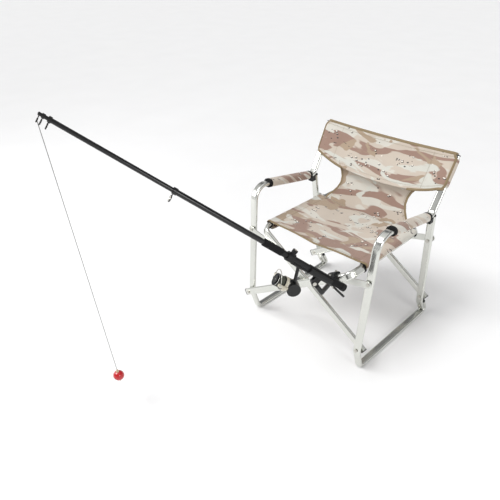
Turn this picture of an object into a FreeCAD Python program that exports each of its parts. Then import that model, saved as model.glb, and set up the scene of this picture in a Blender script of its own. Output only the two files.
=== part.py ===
"""Folding camp chair with a telescopic fishing rod clamped to its frame. Millimetres, +Z up.

The chair is laid out with X across the seat, Y to the back and Z = 0 on the floor. Every
sub-part then carries one placement that moves the chair layout into the row frame.
"""
import FreeCAD, Part
import math
import os

os.makedirs("parts", exist_ok=True)
doc = FreeCAD.newDocument("chair_with_rod")
V = FreeCAD.Vector

# ---------------------------------------------------------------- driving dimensions
DIMENSIONS = {
    "frame_shift": 357.6,
    # bent oval tube
    "tube_width": 30.0, "tube_thick": 15.0, "tube_wall": 1.5, "plug_gap": 0.1,
    "plug_depth": 6.0, "plug_flange": 3.5,
    # side frames
    "half_width": 275.0, "rail_height": 7.5,
    "front_corner_y": -238.0, "front_knee_y": -267.8, "front_knee_z": 100.0,
    "front_top_y": -231.6, "front_top_z": 569.9,
    "arm_rear_y": 108.2, "arm_rear_z": 509.8, "post_top_y": 208.0, "post_top_z": 699.0,
    "rear_corner_y": 247.4, "rail_end_y": 209.9, "rail_end_z": 70.0,
    "bend_corner": 18.0, "bend_knee": 60.0, "bend_top": 53.0, "bend_arm": 30.0, "bend_heel": 16.0,
    "leg_top_y": 121.0, "leg_top_z": 506.0, "leg_knee_y": 186.0, "leg_knee_z": 80.0,
    "leg_foot_y": 216.0, "leg_foot_z": 30.0, "bend_leg": 60.0,
    # cross frames
    "foot_z": 110.0, "cross_z": 281.0, "seat_rail_x": 220.0, "foot_overrun": 18.0,
    "b_front_y": -283.5, "b_rear_y": 150.0, "a_front_y": -246.5, "a_rear_y": 202.0,
    "bend_cross": 30.0,
    # pins and spacers
    "pin_radius": 3.0, "pin_hole": 3.05, "head_radius": 6.5, "head_height": 2.0,
    "spacer_radius": 9.0, "face_gap": 0.3, "lean_gap": 1.6,
    # stay links
    "stay_pivot_z": 396.6, "stay_along_leg": 148.0, "stay_width": 25.0, "stay_thick": 3.0,
    "stay_front_y": -258.5, "stay_rear_y": 158.5, "stay_boss": 6.0, "open_gap": 0.5,
    # arm pads
    "pad_width": 37.0, "pad_height": 29.0, "pad_wall_gap": 0.25, "pad_front_y": -152.0,
    "pad_rear_y": 74.0, "ring_width": 39.0, "ring_height": 31.0, "ring_length": 11.0,
    # fabrics
    "cloth": 2.4, "seat_front_y": -207.0, "seat_rear_y": 111.0, "seat_hem_x": 238.0,
    "seat_hem_z": 404.0, "seat_shoulder_z": 437.2, "seat_sag_z": 424.0,
    "back_bottom_z": 591.0, "back_half": 293.0, "back_offset": 9.6, "back_top_z": 704.0,
    "lumbar_top_y": 134.0, "lumbar_top_z": 598.0, "lumbar_low_y": 113.0, "lumbar_low_z": 437.0,
    "lumbar_top_half": 236.0, "lumbar_waist_half": 150.0, "lumbar_low_half": 196.0,
    # rod clamp
    "clamp_x": 160.0, "clamp_long": 34.0, "clamp_radius": 24.0, "clamp_split": 1.0,
    "clamp_front": 300.0, "clamp_back": 266.0, "clamp_screw_radius": 3.0, "clamp_screw_out": 19.5,
    "lever_length": 52.0, "lever_thick": 4.0, "lever_width": 7.0, "lever_hub": 7.0,
    "arm_radius": 8.0, "arm_eye_radius": 10.0, "arm_eye_width": 10.0, "elbow_s": 55.0, "elbow_drop": 52.0,
    # rod axis
    "butt_x": 232.0, "butt_y": -330.0, "butt_z": 402.0,
    "tip_x": -213.0, "tip_y": -949.0, "tip_z": 993.0,
    # rod
    "butt_cap_radius": 13.0, "butt_cap_length": 14.0, "grip_radius": 11.5, "grip_start": 10.0,
    "grip_end": 154.8, "seat_radius": 10.0, "seat_start": 154.8, "seat_end": 262.0,
    "fore_radius": 11.5, "fore_end": 330.0, "blank_start": 4.0, "one_radius": 8.2, "one_end": 626.0,
    "one_tip_radius": 7.8, "one_bore": 6.55, "two_radius": 6.5, "two_tip_radius": 5.9,
    "two_start": 560.0, "two_end": 940.0, "two_bore": 4.65, "three_radius": 4.6,
    "three_start": 585.0, "three_end": 954.0, "three_bore": 2.85, "four_radius": 2.8,
    "four_tip_radius": 1.6, "four_start": 610.0, "four_end": 962.0,
    "guide_collar": 12.0, "guide_drop": 24.0, "guide_ring": 9.0, "guide_wire": 1.6,
    "ring_two_drop": 17.0, "ring_two": 7.0, "ring_three_drop": 16.0, "ring_three": 6.0,
    "ring_tip_drop": 16.0, "ring_tip": 4.5, "small_collar": 8.0, "ring_liner": 1.0,
    # cradle
    "cradle_start": 60.0, "cradle_end": 150.0, "cradle_outer": 16.0, "cradle_pivot_s": 105.0,
    "cradle_pivot_drop": 34.0, "cradle_lug_width": 5.0, "cradle_lug_radius": 10.0,
    "strap_start": 217.4, "strap_end": 242.0, "strap_outer": 15.0, "knob_radius": 9.0,
    "knob_height": 9.0, "knob_screw": 2.5,
    # reel
    "reel_s": 186.0, "reel_drop": 86.0, "foot_length": 62.0, "foot_half": 5.0, "foot_drop": 16.0,
    "stem_radius": 5.5, "house_radius": 23.0, "house_half": 15.0, "house_wall": 3.0,
    "house_s": 150.0, "neck_radius": 14.5, "neck_end": 180.0, "cover_thick": 3.0,
    "rotor_start": 181.0, "rotor_radius": 24.0, "rotor_depth": 12.0, "rotor_bore": 17.0,
    "rotor_arm": 30.0, "rotor_arm_radius": 5.0, "rotor_arm_at": 30.0,
    "spool_start": 195.0, "spool_skirt": 22.0, "spool_core": 15.0, "spool_length": 24.0,
    "spool_lip": 3.0, "drag_radius": 13.0, "drag_height": 9.0, "shaft_radius": 2.0,
    "bail_wire": 1.2, "bail_reach": 32.0, "roller_radius": 3.5, "roller_length": 7.0,
    "crank_out": 44.0, "crank_length": 46.0, "crank_radius": 3.0, "knob_grip_radius": 6.5,
    "knob_grip_length": 20.0, "gear_radius": 13.0, "gear_thick": 4.0,
    # line and float
    "line_radius": 0.8, "float_radius": 18.0, "float_z": 150.0, "float_stem": 2.5, "cap_height": 8.0,
    "stem_stub": 10.0, "stem_below": 7.0,
    # small fits
    "ring_fit": 0.05, "saddle_half": 11.0, "saddle_front": 14.0, "saddle_below": 22.0, "saddle_height": 26.0,
    "button_height": 1.5, "post_over": 2.0, "section_overlap": 25.0, "collar_wall": 1.4, "collar_sink": 0.9,
    "knob_lift": 3.5, "boss_lift": 3.0, "dimple_out": 1.5, "rotor_fit": 0.8, "stud_radius": 1.5,
    "stud_length": 6.0, "stud_hole_length": 8.0, "plate_thick": 2.4, "plate_gap": 0.3, "arc_out": 2.2,
    "arc_rise": 12.0, "skirt_length": 8.0, "well_depth": 7.0, "gear_side": 3.0, "grip_pin": 2.0,
    "hub_gap": 4.0, "shaft_gap": 5.0, "crank_eye_height": 9.5, "knob_boss_height": 8.5, "knob_step": 5.0,
}

sheet = doc.addObject("Spreadsheet::Sheet", "dims")
for row, (alias, value) in enumerate(DIMENSIONS.items(), start=1):
    sheet.set(f"A{row}", alias)
    sheet.set(f"B{row}", str(value))
    sheet.setAlias(f"B{row}", alias)
doc.recompute()


def dim(alias):
    """Value of a driving dimension."""
    return float(sheet.get(alias))


chair = FreeCAD.Placement(V(0, dim("frame_shift"), 0), FreeCAD.Rotation())
pieces = []


def keep(obj, name, placement=chair):
    """Names an object as a sub-part and puts it in the row frame."""
    obj.Label = name
    obj.Placement = placement
    pieces.append(obj)
    return obj


def shape_piece(name, shape, placement=chair):
    """A sub-part whose swept or drilled shape no single primitive gives."""
    obj = doc.addObject("Part::Feature", name)
    obj.Shape = shape
    return keep(obj, name, placement)


def mirrored(shape):
    """The same shape on the other side of the chair."""
    return shape.mirror(V(0, 0, 0), V(1, 0, 0))


# ---------------------------------------------------------------- bent oval tube
def oval(centre, long_way, short_way, width, thick):
    """Closed oval wire: two flats and two half rounds."""
    r = thick / 2
    flat = long_way * (width / 2 - r)
    rise = short_way * r
    tip = long_way * (width / 2)
    top = Part.makeLine(centre + flat + rise, centre - flat + rise)
    left = Part.Arc(centre - flat + rise, centre - tip, centre - flat - rise).toShape()
    low = Part.makeLine(centre - flat - rise, centre + flat - rise)
    right = Part.Arc(centre + flat - rise, centre + tip, centre + flat + rise).toShape()
    return Part.Wire([top, left, low, right])


def swept(points, radii, across, width, thick, bore=None):
    """Oval section carried along straight runs and true arcs, hollow when a bore is given."""
    starts = [points[0]]
    arcs = []
    for i, radius in enumerate(radii, start=1):
        into = (points[i] - points[i - 1]).normalize()
        out = (points[i + 1] - points[i]).normalize()
        turn = into.getAngle(out)
        reach = radius * math.tan(turn / 2)
        begin = points[i] - into * reach
        inward = (out - into * into.dot(out)).normalize()
        arcs.append((begin, into, begin + inward * radius, into.cross(out), math.degrees(turn)))
        starts.append(begin)
        starts.append(points[i] + out * reach)
    starts.append(points[-1])

    def cut_face(at, heading):
        short_way = heading.cross(across).normalize()
        face = Part.Face(oval(at, across, short_way, width, thick))
        if bore:
            face = face.cut(Part.Face(oval(at, across, short_way, width - bore, thick - bore)))
        return face

    runs = []
    for k in range(0, len(starts), 2):
        heading = (starts[k + 1] - starts[k]).normalize()
        runs.append(cut_face(starts[k], heading).extrude(starts[k + 1] - starts[k]))
    for begin, into, centre, axis, degrees in arcs:
        runs.append(cut_face(begin, into).revolve(centre, axis, degrees))
    return runs[0].fuse(runs[1:]).removeSplitter()


def tube(points, radii, across):
    """Hollow bent tube."""
    return swept(points, radii, across, dim("tube_width"), dim("tube_thick"), 2 * dim("tube_wall"))


def end_plug(at, outward, across):
    """Plastic plug in a tube end with a flange over it."""
    short_way = outward.cross(across).normalize()
    inner = 2 * dim("tube_wall") + 2 * dim("plug_gap")
    flange = Part.Face(oval(at, across, short_way, dim("tube_width"), dim("tube_thick")))
    core = Part.Face(oval(at, across, short_way, dim("tube_width") - inner, dim("tube_thick") - inner))
    return flange.extrude(outward * dim("plug_flange")).fuse(core.extrude(outward * -dim("plug_depth")))


def bore_y(shape, x, z, low, high):
    """Drills a pin hole along Y."""
    return shape.cut(Part.makeCylinder(dim("pin_hole"), high - low, V(x, low, z), V(0, 1, 0)))


def pin_y(x, z, low, high):
    """Pin along Y with a flat head outside each end."""
    shaft = Part.makeCylinder(dim("pin_radius"), high - low, V(x, low, z), V(0, 1, 0))
    front = Part.makeCylinder(dim("head_radius"), dim("head_height"), V(x, low, z), V(0, -1, 0))
    back = Part.makeCylinder(dim("head_radius"), dim("head_height"), V(x, high, z), V(0, 1, 0))
    return shaft.fuse([front, back])


def spacer_y(x, z, low, high):
    """Sleeve that keeps two legs apart on a pin."""
    ring = Part.makeCylinder(dim("spacer_radius"), high - low, V(x, low, z), V(0, 1, 0))
    return bore_y(ring, x, z, low, high)


half = dim("half_width")
half_thick = dim("tube_thick") / 2
foot_z = dim("foot_z")
cross_z = dim("cross_z")
stay_z = dim("stay_pivot_z")
rise = math.atan2(cross_z - foot_z, half)
leg_dir = V(math.cos(rise), 0, math.sin(rise))


def front_leg_y(z):
    """Centre line of the leaning front leg."""
    share = (z - dim("front_knee_z")) / (dim("front_top_z") - dim("front_knee_z"))
    return dim("front_knee_y") + share * (dim("front_top_y") - dim("front_knee_y"))


def rear_leg_y(z):
    """Centre line of the leaning rear leg."""
    share = (z - dim("leg_knee_z")) / (dim("leg_top_z") - dim("leg_knee_z"))
    return dim("leg_knee_y") + share * (dim("leg_top_y") - dim("leg_knee_y"))


# ---------------------------------------------------------------- side frames
X = V(1, 0, 0)
rail_z = dim("rail_height")
arm_path = [
    V(half, dim("rail_end_y"), dim("rail_end_z")),
    V(half, dim("rear_corner_y"), rail_z),
    V(half, dim("front_corner_y"), rail_z),
    V(half, dim("front_knee_y"), dim("front_knee_z")),
    V(half, dim("front_top_y"), dim("front_top_z")),
    V(half, dim("arm_rear_y"), dim("arm_rear_z")),
    V(half, dim("post_top_y"), dim("post_top_z")),
]
arm_radii = [dim("bend_heel"), dim("bend_corner"), dim("bend_knee"), dim("bend_top"), dim("bend_arm")]
leg_path = [
    V(half, dim("leg_top_y"), dim("leg_top_z")),
    V(half, dim("leg_knee_y"), dim("leg_knee_z")),
    V(half, dim("leg_foot_y"), dim("leg_foot_z")),
]
arm_tube = tube(arm_path, arm_radii, X)
rear_leg = tube(leg_path, [dim("bend_leg")], X)

pin_reach = half_thick + dim("lean_gap")
y_foot_front = front_leg_y(foot_z)
y_foot_rear = rear_leg_y(foot_z)
y_stay_front = front_leg_y(stay_z)
y_stay_rear = rear_leg_y(stay_z)
for at_z, at_y in ((foot_z, y_foot_front), (stay_z, y_stay_front)):
    arm_tube = bore_y(arm_tube, half, at_z, at_y - 2 * half_thick, at_y + 2 * half_thick)
for at_z, at_y in ((foot_z, y_foot_rear), (stay_z, y_stay_rear)):
    rear_leg = bore_y(rear_leg, half, at_z, at_y - 2 * half_thick, at_y + 2 * half_thick)

# foot bolt that joins the upturned rail to the rear leg
leg_tail = (leg_path[2] - leg_path[1]).normalize()
bolt_dir = V(0, -leg_tail.z, leg_tail.y)
bolt_mid = leg_path[1] + leg_tail * (leg_path[1].distanceToPoint(leg_path[2]) * 0.55)
bolt_low = bolt_mid - bolt_dir * half_thick
bolt_span = 4 * half_thick + dim("open_gap")
bolt_hole = Part.makeCylinder(dim("pin_hole"), bolt_span, bolt_low, bolt_dir)
arm_tube = arm_tube.cut(bolt_hole)
rear_leg = rear_leg.cut(bolt_hole)
foot_bolt = Part.makeCylinder(dim("pin_radius"), bolt_span, bolt_low, bolt_dir).fuse([
    Part.makeCylinder(dim("head_radius"), dim("head_height"), bolt_low, bolt_dir * -1),
    Part.makeCylinder(dim("head_radius"), dim("head_height"), bolt_low + bolt_dir * bolt_span, bolt_dir),
])

arm_dir = (arm_path[5] - arm_path[4]).normalize()
arm_short = arm_dir.cross(X).normalize()


def on_arm(y):
    """Point of the arm's centre line at a given Y."""
    return arm_path[4] + arm_dir * ((y - arm_path[4].y) / arm_dir.y)


def sleeve(y_from, y_to, width, height):
    """Oval sleeve around the arm tube."""
    begin = on_arm(y_from)
    run = on_arm(y_to) - begin
    gap = 2 * dim("pad_wall_gap")
    outer = Part.Face(oval(begin, X, arm_short, width, height))
    inner = Part.Face(oval(begin, X, arm_short, dim("tube_width") + gap, dim("tube_thick") + gap))
    return outer.cut(inner).extrude(run)


pad_front = dim("pad_front_y")
pad_rear = dim("pad_rear_y")
ring_run = dim("ring_length") * arm_dir.y
arm_pad = sleeve(pad_front, pad_rear, dim("pad_width"), dim("pad_height"))
pad_rings = [
    sleeve(pad_front - ring_run, pad_front, dim("ring_width"), dim("ring_height")),
    sleeve(pad_rear, pad_rear + ring_run, dim("ring_width"), dim("ring_height")),
]

# saddle that fills the corner between the arm bend and the top of the rear leg
saddle_half = dim("saddle_half")
saddle_front = dim("arm_rear_y") - dim("saddle_front")
saddle_low = V(half - saddle_half, saddle_front, dim("leg_top_z") - dim("saddle_below"))
saddle = Part.makeBox(2 * saddle_half, dim("leg_top_y") - saddle_front, dim("saddle_height"), saddle_low)
loose = dim("face_gap")
for path, radii in ((arm_path, arm_radii), (leg_path, [dim("bend_leg")])):
    saddle = saddle.cut(swept(path, radii, X, dim("tube_width") + loose, dim("tube_thick") + loose))
saddle = max(saddle.Solids, key=lambda s: s.Volume)

leg_up = (leg_path[0] - leg_path[1]).normalize()
post_up = (arm_path[6] - arm_path[5]).normalize()
rail_up = (arm_path[0] - arm_path[1]).normalize()
caps = [
    end_plug(leg_path[0], leg_up, X),
    end_plug(arm_path[6], post_up, X),
    end_plug(arm_path[0], rail_up, X),
]
y_b_front = dim("b_front_y")
y_b_rear = dim("b_rear_y")
y_a_front = dim("a_front_y")
y_a_rear = dim("a_rear_y")
gap = dim("face_gap")
stay_thick = dim("stay_thick")
stay_front = dim("stay_front_y")
stay_rear = dim("stay_rear_y")
stay_pins = pin_y(half, stay_z, stay_front - gap, y_stay_front + pin_reach)
stay_pins_rear = pin_y(half, stay_z, y_stay_rear - pin_reach, stay_rear + stay_thick + gap)
stay_space = spacer_y(half, stay_z, stay_front + stay_thick + gap, y_stay_front - pin_reach)
stay_space_rear = spacer_y(half, stay_z, y_stay_rear + pin_reach, stay_rear - gap)
left_foot_front = pin_y(half, foot_z, y_b_front - half_thick - gap, y_foot_front + pin_reach)
left_foot_rear = pin_y(half, foot_z, y_b_rear - half_thick - gap, y_foot_rear + pin_reach)
left_space_rear = spacer_y(half, foot_z, y_b_rear + half_thick + gap, y_foot_rear - pin_reach)
right_foot_front = pin_y(half, foot_z, y_foot_front - pin_reach, y_a_front + half_thick + gap)
right_foot_rear = pin_y(half, foot_z, y_foot_rear - pin_reach, y_a_rear + half_thick + gap)
right_space_front = spacer_y(half, foot_z, y_foot_front + pin_reach, y_a_front - half_thick - gap)
right_space_rear = spacer_y(half, foot_z, y_foot_rear + pin_reach, y_a_rear - half_thick - gap)

side_fasteners = [stay_pins, stay_pins_rear, foot_bolt, stay_space, stay_space_rear]
foot_fasteners = {
    "left": [left_foot_front, left_foot_rear, left_space_rear],
    "right": [right_foot_front, right_foot_rear, right_space_front, right_space_rear],
}
for which_side, flip in (("right", False), ("left", True)):
    def put(name, shape, turned=flip, which=which_side):
        """One side's copy of a shared shape."""
        return shape_piece(f"{which}_{name}", mirrored(shape) if turned else shape)

    put("arm_tube", arm_tube)
    put("rear_leg", rear_leg)
    put("arm_pad", arm_pad)
    put("pad_rings", Part.makeCompound(pad_rings))
    put("end_caps", Part.makeCompound(caps + [saddle]))
    put("fasteners", Part.makeCompound(side_fasteners + foot_fasteners[which_side]))

# ---------------------------------------------------------------- cross frames
overrun = leg_dir * dim("foot_overrun")
rail_x = dim("seat_rail_x")
seat_z = cross_z + rail_x * math.tan(rise)


def cross_frame(front_y, rear_y):
    """U-shaped frame from the left feet up to the right seat rail."""
    foot = V(-half, 0, foot_z) - overrun
    top = V(rail_x, 0, seat_z)
    front = V(0, front_y, 0)
    rear = V(0, rear_y, 0)
    path = [foot + front, top + front, top + rear, foot + rear]
    across = leg_dir.cross(V(0, 1, 0)).normalize()
    hollow = tube(path, [dim("bend_cross")] * 2, across)
    for x, z in ((-half, foot_z), (0, cross_z)):
        for y in (front_y, rear_y):
            hollow = bore_y(hollow, x, z, y - 2 * half_thick, y + 2 * half_thick)
    plugs = [end_plug(foot + front, leg_dir * -1, across), end_plug(foot + rear, leg_dir * -1, across)]
    rings = []
    for y in (dim("seat_front_y") - dim("ring_length") / 2 - gap, dim("seat_rear_y") + gap):
        at = top + V(0, y, 0)
        grown = dim("tube_thick") / 3
        band = Part.Face(oval(at, across, leg_dir, dim("tube_width") + grown, dim("tube_thick") + grown))
        bore = Part.Face(oval(at, across, leg_dir, dim("tube_width") + gap, dim("tube_thick") + gap))
        rings.append(band.cut(bore).extrude(V(0, dim("ring_length") / 2, 0)))
    return hollow, plugs, rings


tube_b, plugs_b, rings_b = cross_frame(y_b_front, y_b_rear)
tube_a, plugs_a, rings_a = cross_frame(y_a_front, y_a_rear)
shape_piece("cross_tube_b", tube_b)
shape_piece("cross_b_trim", Part.makeCompound(plugs_b + rings_b))
shape_piece("cross_tube_a", mirrored(tube_a))
shape_piece("cross_a_trim", mirrored(Part.makeCompound(plugs_a + rings_a)))
centre_front = pin_y(0, cross_z, y_b_front - half_thick - gap, y_a_front + half_thick + gap)
centre_rear = pin_y(0, cross_z, y_b_rear - half_thick - gap, y_a_rear + half_thick + gap)
centre_gaps = [
    spacer_y(0, cross_z, y_b_front + half_thick + gap, y_a_front - half_thick - gap),
    spacer_y(0, cross_z, y_b_rear + half_thick + gap, y_a_rear - half_thick - gap),
]
shape_piece("centre_pivots", Part.makeCompound([centre_front, centre_rear] + centre_gaps))

# ---------------------------------------------------------------- stay links
stay_in = V(dim("stay_along_leg") * leg_dir.x, 0, cross_z + dim("stay_along_leg") * leg_dir.z)


def stay(y_low, boss_from, boss_to):
    """Flat bar from the side frame to just short of the cross leg, with a boss at its inner end."""
    outer = V(half, y_low, stay_z)
    inner = V(stay_in.x, y_low, stay_in.z)
    heading = (inner - outer).normalize()
    side_way = heading.cross(V(0, 1, 0)).normalize()
    width = dim("stay_width")
    length = (inner - outer).Length
    wire = oval((outer + inner) * 0.5, heading, side_way, length + width, width)
    bar = bore_y(Part.Face(wire).extrude(V(0, stay_thick, 0)), half, stay_z, y_low, y_low + stay_thick)
    knob = Part.makeCylinder(dim("stay_boss"), boss_to - boss_from, V(inner.x, boss_from, inner.z),
                             V(0, 1, 0))
    return bar.fuse(knob)


open_gap = dim("open_gap")
right_front = stay(stay_front, y_b_front + half_thick + open_gap, stay_front)
right_rear = stay(stay_rear, y_b_rear + half_thick + open_gap, stay_rear)
left_front = stay(stay_front, stay_front + stay_thick, y_a_front - half_thick - open_gap)
left_rear = stay(stay_rear, stay_rear + stay_thick, y_a_rear - half_thick - open_gap)
shape_piece("right_stays", Part.makeCompound([right_front, right_rear]))
shape_piece("left_stays", mirrored(Part.makeCompound([left_front, left_rear])))

# ---------------------------------------------------------------- fabrics
cloth = dim("cloth")


def ribbon(points, thick, run):
    """Cloth strip: a centre line given thickness and drawn out along run."""
    normals = []
    for i in range(len(points)):
        before = points[max(i - 1, 0)]
        after = points[min(i + 1, len(points) - 1)]
        normals.append((after - before).cross(run).normalize() * (thick / 2))
    upper = [p + n for p, n in zip(points, normals)]
    lower = [p - n for p, n in zip(points, normals)]
    outline = upper + lower[::-1]
    return Part.Face(Part.makePolygon(outline + [outline[0]])).extrude(run)


seat_line = [(-1, "seat_hem_z", 0), (-1, "seat_shoulder_z", -13), (-0.96, "seat_shoulder_z", -1),
             (-0.86, "seat_shoulder_z", 0)]
seat_profile = [V(f * dim("seat_hem_x"), 0, dim(a) + dz) for f, a, dz in seat_line]
sag_steps = 8
for k in range(1, sag_steps):
    f = -0.86 + 1.72 * k / sag_steps
    drop = (dim("seat_shoulder_z") - dim("seat_sag_z")) * (1 - (f / 0.86) ** 2)
    seat_profile.append(V(f * dim("seat_hem_x"), 0, dim("seat_shoulder_z") - drop))
seat_profile += [V(-f * dim("seat_hem_x"), 0, dim(a) + dz) for f, a, dz in reversed(seat_line)]
seat_profile = [p + V(0, dim("seat_front_y"), 0) for p in seat_profile]
seat_run = V(0, dim("seat_rear_y") - dim("seat_front_y"), 0)
shape_piece("seat_fabric", ribbon(seat_profile, cloth, seat_run))

face_out = V(0, -post_up.z, post_up.y)
post_low = arm_path[5] + post_up * ((dim("back_bottom_z") - dim("arm_rear_z")) / post_up.z)
post_high = arm_path[5] + post_up * ((dim("back_top_z") - dim("arm_rear_z")) / post_up.z)
back_mid = face_out * dim("back_offset")
back_line = [V(-dim("back_half"), p.y, p.z) + back_mid for p in (post_low, post_high)]
back_run = V(2 * dim("back_half"), 0, 0)
shape_piece("back_fabric", ribbon(back_line, cloth, back_run))

top_y = dim("lumbar_top_y")
low_y = dim("lumbar_low_y")
top_z = dim("lumbar_top_z") - 16
low_z = dim("lumbar_low_z")
waist_z = (top_z + low_z) / 2
waist_y = (top_y + low_y) / 2
edge = Part.BSplineCurve()
edge.interpolate([
    V(dim("lumbar_low_half"), low_y, low_z),
    V(dim("lumbar_waist_half"), waist_y, waist_z),
    V(dim("lumbar_top_half"), top_y, top_z),
])
right_edge = edge.toShape()
left_edge = mirrored(right_edge)
top_edge = Part.makeLine(V(dim("lumbar_top_half"), top_y, top_z),
                         V(-dim("lumbar_top_half"), top_y, top_z))
low_edge = Part.makeLine(V(-dim("lumbar_low_half"), low_y, low_z),
                         V(dim("lumbar_low_half"), low_y, low_z))
panel = Part.Face(Part.Wire([right_edge, top_edge, left_edge, low_edge]))
shape_piece("lumbar_panel", panel.extrude(V(0, cloth, 0)))

# ---------------------------------------------------------------- rod clamp on the cross leg
clamp_at = V(dim("clamp_x"), 0, cross_z + dim("clamp_x") * math.tan(rise))
leg_across = leg_dir.cross(V(0, 1, 0)).normalize()
clamp_long = dim("clamp_long")
front_face = -dim("clamp_front")
back_face = -dim("clamp_back")
ring_base = clamp_at - leg_dir * (clamp_long / 2) + V(0, y_b_front, 0)
ring_solid = Part.makeCylinder(dim("clamp_radius"), clamp_long, ring_base, leg_dir)
ring_bore = Part.Face(oval(ring_base, leg_across, V(0, 1, 0), dim("tube_width") + gap,
                           dim("tube_thick") + gap))
ring_solid = ring_solid.cut(ring_bore.extrude(leg_dir * clamp_long))
reach = 3 * dim("clamp_radius")
keep_box = Part.makeBox(2 * reach, back_face - front_face, 2 * reach,
                        clamp_at + V(-reach, front_face, -reach))
ring_solid = ring_solid.common(keep_box)
split = dim("clamp_split") / 2
front_half = Part.makeBox(2 * reach, reach, 2 * reach,
                          clamp_at + V(-reach, y_b_front - split - reach, -reach))
back_half = Part.makeBox(2 * reach, reach, 2 * reach, clamp_at + V(-reach, y_b_front + split, -reach))
screw_radius = dim("clamp_screw_radius")
screw_points = [clamp_at + leg_across * f * dim("clamp_screw_out") for f in (-1, 1)]
screw_hole = dim("pin_hole") - dim("pin_radius")
for p in screw_points:
    hole = Part.makeCylinder(screw_radius + screw_hole, reach, V(p.x, front_face, p.z), V(0, 1, 0))
    ring_solid = ring_solid.cut(hole)
butt = V(dim("butt_x"), dim("butt_y"), dim("butt_z"))
tip = V(dim("tip_x"), dim("tip_y"), dim("tip_z"))
rod_dir = (tip - butt).normalize()
rod_up = (V(0, 0, 1) - rod_dir * rod_dir.z).normalize()
rod_side = rod_dir.cross(rod_up)
rod_in_chair = FreeCAD.Placement(butt, FreeCAD.Rotation(rod_up, rod_side, rod_dir, "XYZ"))
rod_frame = chair.multiply(rod_in_chair)
eye = butt + rod_dir * dim("cradle_pivot_s") - rod_up * dim("cradle_pivot_drop")
eye_width = dim("arm_eye_width")
arm_root = V(clamp_at.x, front_face + split, clamp_at.z)
elbow = butt + rod_dir * dim("elbow_s") - rod_up * dim("elbow_drop")
arm_radius = dim("arm_radius")
reach_bar = Part.makeCylinder(arm_radius, (elbow - arm_root).Length, arm_root, elbow - arm_root).fuse([
    Part.makeSphere(arm_radius, elbow),
    Part.makeCylinder(arm_radius, (eye - elbow).Length, elbow, eye - elbow),
])
eye_low = eye - rod_side * (eye_width / 2)
eye_disc = Part.makeCylinder(dim("arm_eye_radius"), eye_width, eye_low, rod_side)
eye_hole = Part.makeCylinder(dim("pin_hole"), eye_width, eye_low, rod_side)
holder_arm = reach_bar.fuse(eye_disc).cut(eye_hole)
slab_reach = dim("arm_eye_radius") * 1.9
for f in (-1, 1):
    slab = Part.makeCylinder(slab_reach, slab_reach, eye + rod_side * f * eye_width / 2, rod_side * f)
    holder_arm = holder_arm.cut(slab)
holder_arm = max(holder_arm.Solids, key=lambda s: s.Volume)
front_jaw = ring_solid.common(front_half).cut(holder_arm)
shape_piece("clamp_jaw_front", front_jaw)
shape_piece("clamp_jaw_rear", ring_solid.common(back_half))
shape_piece("holder_arm", holder_arm)
screws = []
for p in screw_points:
    base = V(p.x, front_face, p.z)
    shank = Part.makeCylinder(screw_radius, back_face - front_face, base, V(0, 1, 0))
    head = Part.makeCylinder(2 * screw_radius - 1, dim("head_height"), base, V(0, -1, 0))
    nut = Part.makeCylinder(2 * screw_radius - 1, dim("head_height"), V(p.x, back_face, p.z), V(0, 1, 0))
    screws.append(shank.fuse([head, nut]))
lever_point = screw_points[0]
lever_y = front_face - dim("head_height")
post_height = dim("lever_thick") + dim("post_over")
post_at = V(lever_point.x, lever_y, lever_point.z)
button_at = V(lever_point.x, lever_y - post_height, lever_point.z)
post = Part.makeCylinder(dim("pin_radius") - 1, post_height, post_at, V(0, -1, 0))
button = Part.makeCylinder(dim("pin_radius") + 1, dim("button_height"), button_at, V(0, -1, 0))
screws[0] = screws[0].fuse([post, button])
shape_piece("clamp_screws", Part.makeCompound(screws))
lever_base = V(lever_point.x, lever_y - 1, lever_point.z)
lever_dir = V(0.93, 0, -0.37).normalize()
lever_across = lever_dir.cross(V(0, 1, 0))
hub = Part.makeCylinder(dim("lever_hub"), dim("lever_thick"), lever_base, V(0, -1, 0))
blade_mid = lever_base + lever_dir * (dim("lever_length") / 2)
blade = Part.Face(oval(blade_mid, lever_dir, lever_across, dim("lever_length"), dim("lever_width")))
lever = hub.fuse(blade.extrude(V(0, -dim("lever_thick"), 0)))
lever_hole = Part.makeCylinder(dim("pin_hole") - 1, reach, lever_base + V(0, reach / 2, 0), V(0, -1, 0))
shape_piece("clamp_lever", lever.cut(lever_hole))


# ---------------------------------------------------------------- rod, in its own frame
def prim(kind, at=V(0, 0, 0), axis=V(0, 0, 1), **sizes):
    """Primitive with its sizes bound to the sheet."""
    obj = doc.addObject(f"Part::{kind}", kind.lower())
    for prop, expression in sizes.items():
        obj.setExpression(prop, expression)
    obj.Placement = FreeCAD.Placement(at, FreeCAD.Rotation(V(0, 0, 1), axis))
    return obj


def boolean(kind, base, *tools):
    """Cut of several tools from a base, or fuse of them all."""
    if kind == "Cut":
        tool = tools[0]
        if len(tools) > 1:
            tool = doc.addObject("Part::MultiFuse", "tools")
            tool.Shapes = list(tools)
        obj = doc.addObject("Part::Cut", "cut")
        obj.Base = base
        obj.Tool = tool
        return obj
    obj = doc.addObject("Part::MultiFuse", "fuse")
    obj.Shapes = [base, *tools]
    return obj


def rod_piece(obj, name):
    """A sub-part laid out along the rod axis."""
    doc.recompute()
    return keep(obj, name, rod_frame.multiply(obj.Placement))


def along(alias, up=0.0, side=0.0):
    """Point on the rod axis, moved up or sideways."""
    return V(up, side, dim(alias))


def collar(start, end, outer, inner):
    """Sleeve on the rod axis between two stations."""
    span = f"dims.{end} - dims.{start}"
    out = prim("Cylinder", along(start), Radius=f"dims.{outer}", Height=span)
    bore = prim("Cylinder", along(start), Radius=f"dims.{inner}", Height=span)
    return boolean("Cut", out, bore)


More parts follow.
